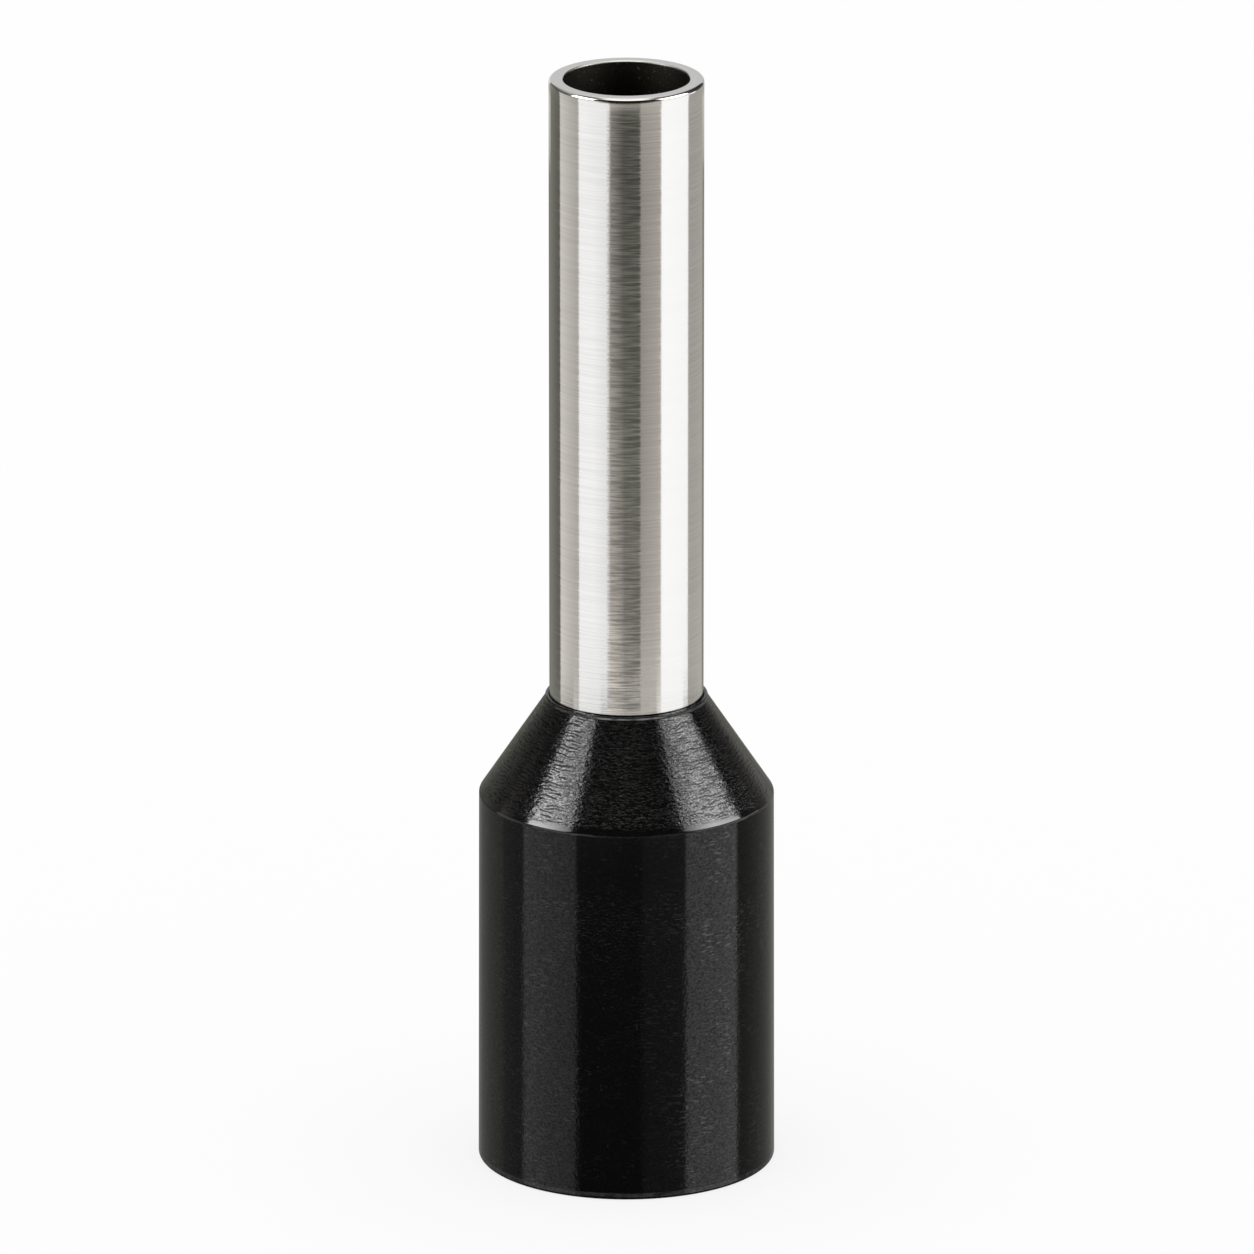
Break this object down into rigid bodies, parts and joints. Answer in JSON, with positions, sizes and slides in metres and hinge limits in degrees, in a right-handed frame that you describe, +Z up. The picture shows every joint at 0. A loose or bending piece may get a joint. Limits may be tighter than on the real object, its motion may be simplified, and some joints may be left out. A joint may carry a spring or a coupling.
{
  "type": "insulated wire ferrule",
  "caption": "Insulated wire ferrule: a slim tinned contact tube standing in a black plastic collar that tapers in to grip it.",
  "frame": {"origin": "centre of the collar's open mouth, in the plane that the ferrule stands on", "axes": "+Z up the common axis of the collar and the tube, from the wire's side to the contact tip; turned all round, so X and Y are alike"},
  "size_m": [0.0037, 0.0038, 0.014],
  "materials": {
    "tinned_copper": "bright tin plating with fine brush lines round the tube",
    "black_plastic": "satin black moulded plastic, finely wrinkled on the cone"
  },
  "bodies": {
    "root": {"contact_tube": "tinned_copper", "insulating_collar": "black_plastic"}
  },
  "joints": []
}
